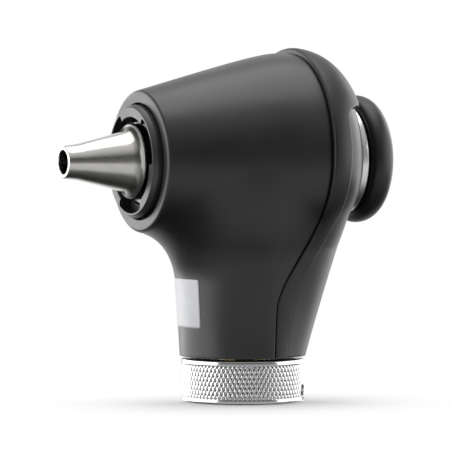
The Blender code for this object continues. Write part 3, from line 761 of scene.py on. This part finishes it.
def build_bumper():
    """A band lofted along the seam: its section stands proud of the skin and is rounded outside."""
    front = arch_edge(lambda z, t: seam_y(z) + SKIN_GAP)
    back = arch_edge(lambda z, t: bumper_back_y(z, t) - SKIN_GAP)
    section = bumper_section()
    across = np.array([v for v, _ in section])
    height = np.array([h for _, h in section])
    rows = []
    for k, t in enumerate(STATIONS):
        fade = smooth_step(BUMPER_FADE_START, BUMPER_FADE_END, t)
        proud = BUMPER_PROUD + (BUMPER_PROUD_FOOT - BUMPER_PROUD) * fade
        level = 0.0 if k == ARCH_STEPS else 1.0
        row = settle(front[k] + (back[k] - front[k]) * across[:, None], (1.0, 0.0, level))
        normal = slope(row) * np.array((1.0, 1.0, level))
        normal /= np.linalg.norm(normal, axis=1)[:, None]
        lift = np.where(height > 0.0, proud * height, SHELL_T * height)
        row = row + normal * lift[:, None]
        if k == 0:
            row[:, 0] = 0.0
        rows.append(row)
    width = len(section)
    faces = []
    for k in range(ARCH_STEPS):
        for v in range(width):
            a, b = k * width + v, k * width + (v + 1) % width
            faces.append((a, a + width, b + width, b))
    faces.append(tuple(ARCH_STEPS * width + v for v in reversed(range(width))))
    piece = piece_from("rubber_bumper_band", np.concatenate(rows), faces, BUMPER, "housing",
                       ("rubber_bumper",))
    return mirrored(piece)


# ---- Nose --------------------------------------------------------------------------------------------

CONE_TIP_Y, CONE_TIP_R, CONE_TIP_BORE_R = -45.7, 3.75, 2.7
CONE_BACK_Y, CONE_SHANK_R, CONE_BORE_R = -19.0, 7.4, 6.2
FLANGE_BACK, FLANGE_FRONT, FLANGE_R = -25.6, -26.5, 9.6
CONE_ROOT_Y, CONE_ROOT_R = -28.875, 8.7


def build_nose_cone():
    """A hollow cone with a flange, a short straight root and a taper that flares towards it."""
    bore = [(CONE_TIP_BORE_R, CONE_TIP_Y, 0.30), (3.05, CONE_TIP_Y + 3.0, 0.0), (CONE_BORE_R, -28.0, 0.0),
            (CONE_BORE_R, CONE_BACK_Y, 0.0)]
    base = [(CONE_SHANK_R, CONE_BACK_Y, 0.2), (CONE_SHANK_R, FLANGE_BACK, 0.0),
            (FLANGE_R, FLANGE_BACK, 0.15), (FLANGE_R, FLANGE_FRONT, 0.25),
            (CONE_ROOT_R, FLANGE_FRONT, 0.12), (CONE_ROOT_R, CONE_ROOT_Y, 0.4)]
    taper = [(7.19, -29.63, 3.0), (4.2, -42.0, 12.0), (CONE_TIP_R, CONE_TIP_Y, 0.4)]
    outline = refined(rounded(bore + base + taper), 1.2)
    return lathe("nose_cone_turned", outline, CONE_STEEL, "housing", ("nose_cone",), 128)


def refined(outline, longest):
    """The outline with its long stretches divided, so that no face is long and thin."""
    finer = []
    for i, (r, h) in enumerate(outline):
        r2, h2 = outline[(i + 1) % len(outline)]
        parts = max(1, math.ceil(math.hypot(r2 - r, h2 - h) / longest))
        finer += [(r + (r2 - r) * k / parts, h + (h2 - h) * k / parts) for k in range(parts)]
    return finer


GRIP_R, GRIP_BORE_R, GRIP_FRONT, GRIP_BACK = 13.1, 10.2, -28.7, -24.8
POCKET_R, POCKET_HALF, POCKET_FLOOR, POCKET_ROUND = 12.0, math.radians(30), -25.9, 0.9
POCKETS = (28.0, 148.0, 268.0)        # degrees from +X towards +Z


def bent_block(name, outline, low, high):
    """A cutter between two places along the optical axis, from an outline of (x, z) points about it."""
    points = [(x, y, OPTIC_Z + z) for y in (low, high) for x, z in outline]
    count = len(outline)
    faces = [tuple(range(count)), tuple(reversed(range(count, 2 * count)))]
    faces += [(k, (k + 1) % count, count + (k + 1) % count, count + k) for k in range(count)]
    return face_out(object_from(name, points, faces))


def polar(radius, angle):
    return np.array((radius * math.cos(angle), radius * math.sin(angle)))


def pocket_outline(middle, steps=16, end_steps=5):
    """A bent slot with rounded outer corners, open towards the axis."""
    corner = POCKET_ROUND / POCKET_R
    ends = []
    for side in (-1.0, 1.0):
        turn = middle + side * (POCKET_HALF - corner)
        hub = polar(POCKET_R - POCKET_ROUND, turn)
        end = [polar(GRIP_BORE_R - 1.5, turn + side * corner)]
        for k in range(end_steps + 1):
            end.append(hub + polar(POCKET_ROUND, turn + side * math.radians(90.0 * (1.0 - k / end_steps))))
        ends.append(end)
    start = middle - POCKET_HALF + 2.0 * corner
    span = 2.0 * (POCKET_HALF - 2.0 * corner)
    top = [polar(POCKET_R, start + span * k / steps) for k in range(steps + 1)]
    return ends[0] + top + ends[1][::-1]


def build_tip_grip_ring():
    """The dark ring round the cone's root, with three bent pockets sunk in its front face."""
    corners = [(GRIP_R, GRIP_BACK, 0.2), (GRIP_R, GRIP_FRONT + 1.0, 0.3), (GRIP_R - 0.7, GRIP_FRONT, 0.12),
               (GRIP_BORE_R, GRIP_FRONT, 0.25), (GRIP_BORE_R, GRIP_BACK, 0.2)]
    outline = refined(rounded(corners, 5), 0.6)
    ring = lathe("tip_grip_ring_moulded", outline, RING_BLACK, "grip", ("tip_grip_ring",), 144)
    pockets = []
    for k, middle in enumerate(POCKETS):
        outline = pocket_outline(math.radians(middle))
        pockets.append(bent_block(f"pocket_{k}", outline, GRIP_FRONT - 1.0, POCKET_FLOOR))
    return cut(ring, pockets)


# ---- Eyepiece ----------------------------------------------------------------------------------------

EYEPIECE_BORE_R = 9.5
FOCUS_R, FOCUS_FRONT, FOCUS_BACK = 13.0, 20.4, 26.7
EYECUP_R, EYECUP_FRONT, EYECUP_BACK = 14.9, 27.0, 33.3
EYECUP_MOUTH_R, EYECUP_MOUTH_DEPTH = 10.6, 2.0


def build_focus_ring():
    """A plain satin ring with softened edges."""
    corners = [(FOCUS_R, FOCUS_BACK, 0.45), (FOCUS_R, FOCUS_FRONT, 0.3),
               (EYEPIECE_BORE_R, FOCUS_FRONT, 0.2), (EYEPIECE_BORE_R, FOCUS_BACK, 0.2)]
    outline = refined(rounded(corners), 0.7)
    return lathe("focus_ring_turned", outline, FOCUS, "focus_wheel", ("focus_ring",), 144)


def build_eyecup():
    """A fat rubber ring whose bore opens into a shallow mouth for the eye."""
    corners = [(EYECUP_R, EYECUP_BACK, 3.9), (EYECUP_R, EYECUP_FRONT, 2.0),
               (EYEPIECE_BORE_R, EYECUP_FRONT, 0.2), (EYEPIECE_BORE_R, EYECUP_BACK - EYECUP_MOUTH_DEPTH, 0.2),
               (EYECUP_MOUTH_R, EYECUP_BACK, 0.5)]
    outline = refined(rounded(corners, 10), 0.9)
    return lathe("eyecup_moulded", outline, EYECUP, "housing", ("eyecup",), 160)


# ---- Collar ------------------------------------------------------------------------------------------

COLLAR_R, COLLAR_H, SOCKET_R, SOCKET_DEPTH, THROAT_R = 14.4, 10.1, 11.9, 7.5, 5.7
KNURL_LOW, KNURL_HIGH, KNURL_DEPTH = 1.3, 8.8, 0.34
GROOVE_WIDTH, GROOVE_DEPTH, WALL_STEP = 0.12, 0.10, 0.13
KNURL_COUNT, KNURL_ROWS, KNURL_CELL = 84, 3.5, 8
FURROW_STEEPNESS, FURROW_SHARE, PIT_START, PIT_END = 1.4, 0.3, 0.21, 0.42
SCREW_TURN, SCREW_Z, SCREW_HOLE_R = math.radians(52), 2.25, 1.7
DRILL_START, DRILL_SINK, DRILL_END, DRILL_FLARE = 11.0, 13.95, 14.6, 0.6


def knurl(turn, z):
    """Depth of a diamond knurl, 0 on its points and 1 in the pits where its furrows cross."""
    around = KNURL_COUNT * turn / (2.0 * math.pi)
    along = (z - KNURL_LOW) / (KNURL_HIGH - KNURL_LOW) * KNURL_ROWS
    first = np.abs((around + along) % 1.0 - 0.5)
    second = np.abs((around - along) % 1.0 - 0.5)
    furrow = np.clip(1.0 + FURROW_STEEPNESS * (2.0 * np.maximum(first, second) - 1.0), 0.0, 1.0)
    pit = smooth_step(PIT_START, PIT_END, np.minimum(first, second))
    return FURROW_SHARE * furrow + (1.0 - FURROW_SHARE) * pit


def build_collar():
    """The collar with a socket in its foot; its outer wall is cut by the knurl and a groove at each end."""
    steps = KNURL_COUNT * KNURL_CELL
    corners = [(COLLAR_R, COLLAR_H, 0.45), (COLLAR_R, 0.0, 0.5), (SOCKET_R, 0.0, 0.25),
               (SOCKET_R, SOCKET_DEPTH, 0.2), (THROAT_R, SOCKET_DEPTH, 0.2), (THROAT_R, COLLAR_H, 0.2)]
    outline = rounded(corners, 4)
    finer = []
    for i, (r, h) in enumerate(outline):
        r2, h2 = outline[(i + 1) % len(outline)]
        outer_wall = min(r, r2) > COLLAR_R - 0.01
        parts = math.ceil(abs(h2 - h) / WALL_STEP) if outer_wall else 1
        finer += [(r + (r2 - r) * k / parts, h + (h2 - h) * k / parts) for k in range(parts)]
    points = np.array(lathe_points(finer, steps, False))
    x, y, z = points.T
    radius = np.hypot(x, y)
    wall = radius > COLLAR_R - 0.01
    above = smooth_step(KNURL_LOW - GROOVE_WIDTH, KNURL_LOW + GROOVE_WIDTH, z)
    below = 1.0 - smooth_step(KNURL_HIGH - GROOVE_WIDTH, KNURL_HIGH + GROOVE_WIDTH, z)
    depth = KNURL_DEPTH * knurl(np.arctan2(y, x), z) * above * below * wall
    for end in (KNURL_LOW, KNURL_HIGH):
        depth += GROOVE_DEPTH * np.exp(-((z - end) / GROOVE_WIDTH) ** 2) * wall
    scale = 1.0 - depth / radius
    points[:, 0], points[:, 1] = x * scale, y * scale
    piece = piece_from("knurled_collar_cut", points, lathe_faces(len(finer), steps), COLLAR, "housing",
                       ("knurled_collar",), KNURL_SHARP_ANGLE)
    return cut(face_out(piece), [screw_drill()], KNURL_SHARP_ANGLE)


def screw_drill(sides=40):
    """The radial drill for the set screw, wider at its mouth for a small countersink."""
    axis = np.array((math.cos(SCREW_TURN), math.sin(SCREW_TURN), 0.0))
    across = np.array((-math.sin(SCREW_TURN), math.cos(SCREW_TURN), 0.0))
    rings = ((SCREW_HOLE_R, DRILL_START), (SCREW_HOLE_R, DRILL_SINK), (SCREW_HOLE_R + DRILL_FLARE, DRILL_END))
    points = []
    for radius, along in rings:
        for k in range(sides):
            a = 2.0 * math.pi * k / sides
            points.append(axis * along + across * radius * math.cos(a)
                          + np.array((0.0, 0.0, SCREW_Z + radius * math.sin(a))))
    faces = [tuple(range(sides)), tuple(reversed(range(2 * sides, 3 * sides)))]
    for r in range(2):
        faces += [(r * sides + k, r * sides + (k + 1) % sides, (r + 1) * sides + (k + 1) % sides,
                   (r + 1) * sides + k) for k in range(sides)]
    return face_out(object_from("screw_drill", points, faces))


# ---- Label -------------------------------------------------------------------------------------------

LABEL_HALF_TURN, LABEL_LOW, LABEL_HIGH = math.radians(24.3), 17.5, 28.8
LABEL_CORNER, LABEL_LIFT, LABEL_THICK, LABEL_START_R = 0.04, 0.09, 0.075, 15.4


def build_label(columns=28, rows=24):
    """A blank white patch with slightly eased corners on the front of the neck."""
    points = []
    for r in range(rows + 1):
        for c in range(columns + 1):
            u, v = 2.0 * c / columns - 1.0, 2.0 * r / rows - 1.0
            pull = 1.0 - LABEL_CORNER * max(0.0, abs(u) + abs(v) - 1.75)
            turn = u * pull * LABEL_HALF_TURN
            z = 0.5 * (LABEL_LOW + LABEL_HIGH) + 0.5 * (LABEL_HIGH - LABEL_LOW) * v * pull
            points.append((LABEL_START_R * math.sin(turn), -LABEL_START_R * math.cos(turn), z))
    points = settle(np.array(points), (1.0, 1.0, 0.0))
    normal = slope(points)
    points = points + normal / np.linalg.norm(normal, axis=1)[:, None] * LABEL_LIFT
    piece = piece_from("neck_label", points, grid_faces(rows + 1, columns + 1), LABEL, "housing",
                       ())
    wall = piece.modifiers.new("film", "SOLIDIFY")
    wall.thickness = LABEL_THICK * MM
    wall.offset = -1.0
    return piece


# ---- Frame nodes that keep their shape -----------------------------------------------------------------

def paint_frame_nodes():
    """Paint the frame nodes that no piece here replaces, each by its slot."""
    slots = {row["node"]: row["material_slot"] for row in frame["record"]["subparts"]}
    for node, item in frame["nodes"].items():
        if item.hide_render:
            continue
        item.data.materials.clear()
        item.data.materials.append(SLOT_PAINTS[slots[node]].material)
        shade(item, FRAME_SHARP_ANGLE)


build_front_shell()
build_rear_cover()
build_bumper()
build_nose_cone()
build_tip_grip_ring()
build_focus_ring()
build_eyecup()
build_collar()
build_label()
paint_frame_nodes()
make_lights()
bpy.context.scene.view_settings.view_transform = "Standard"
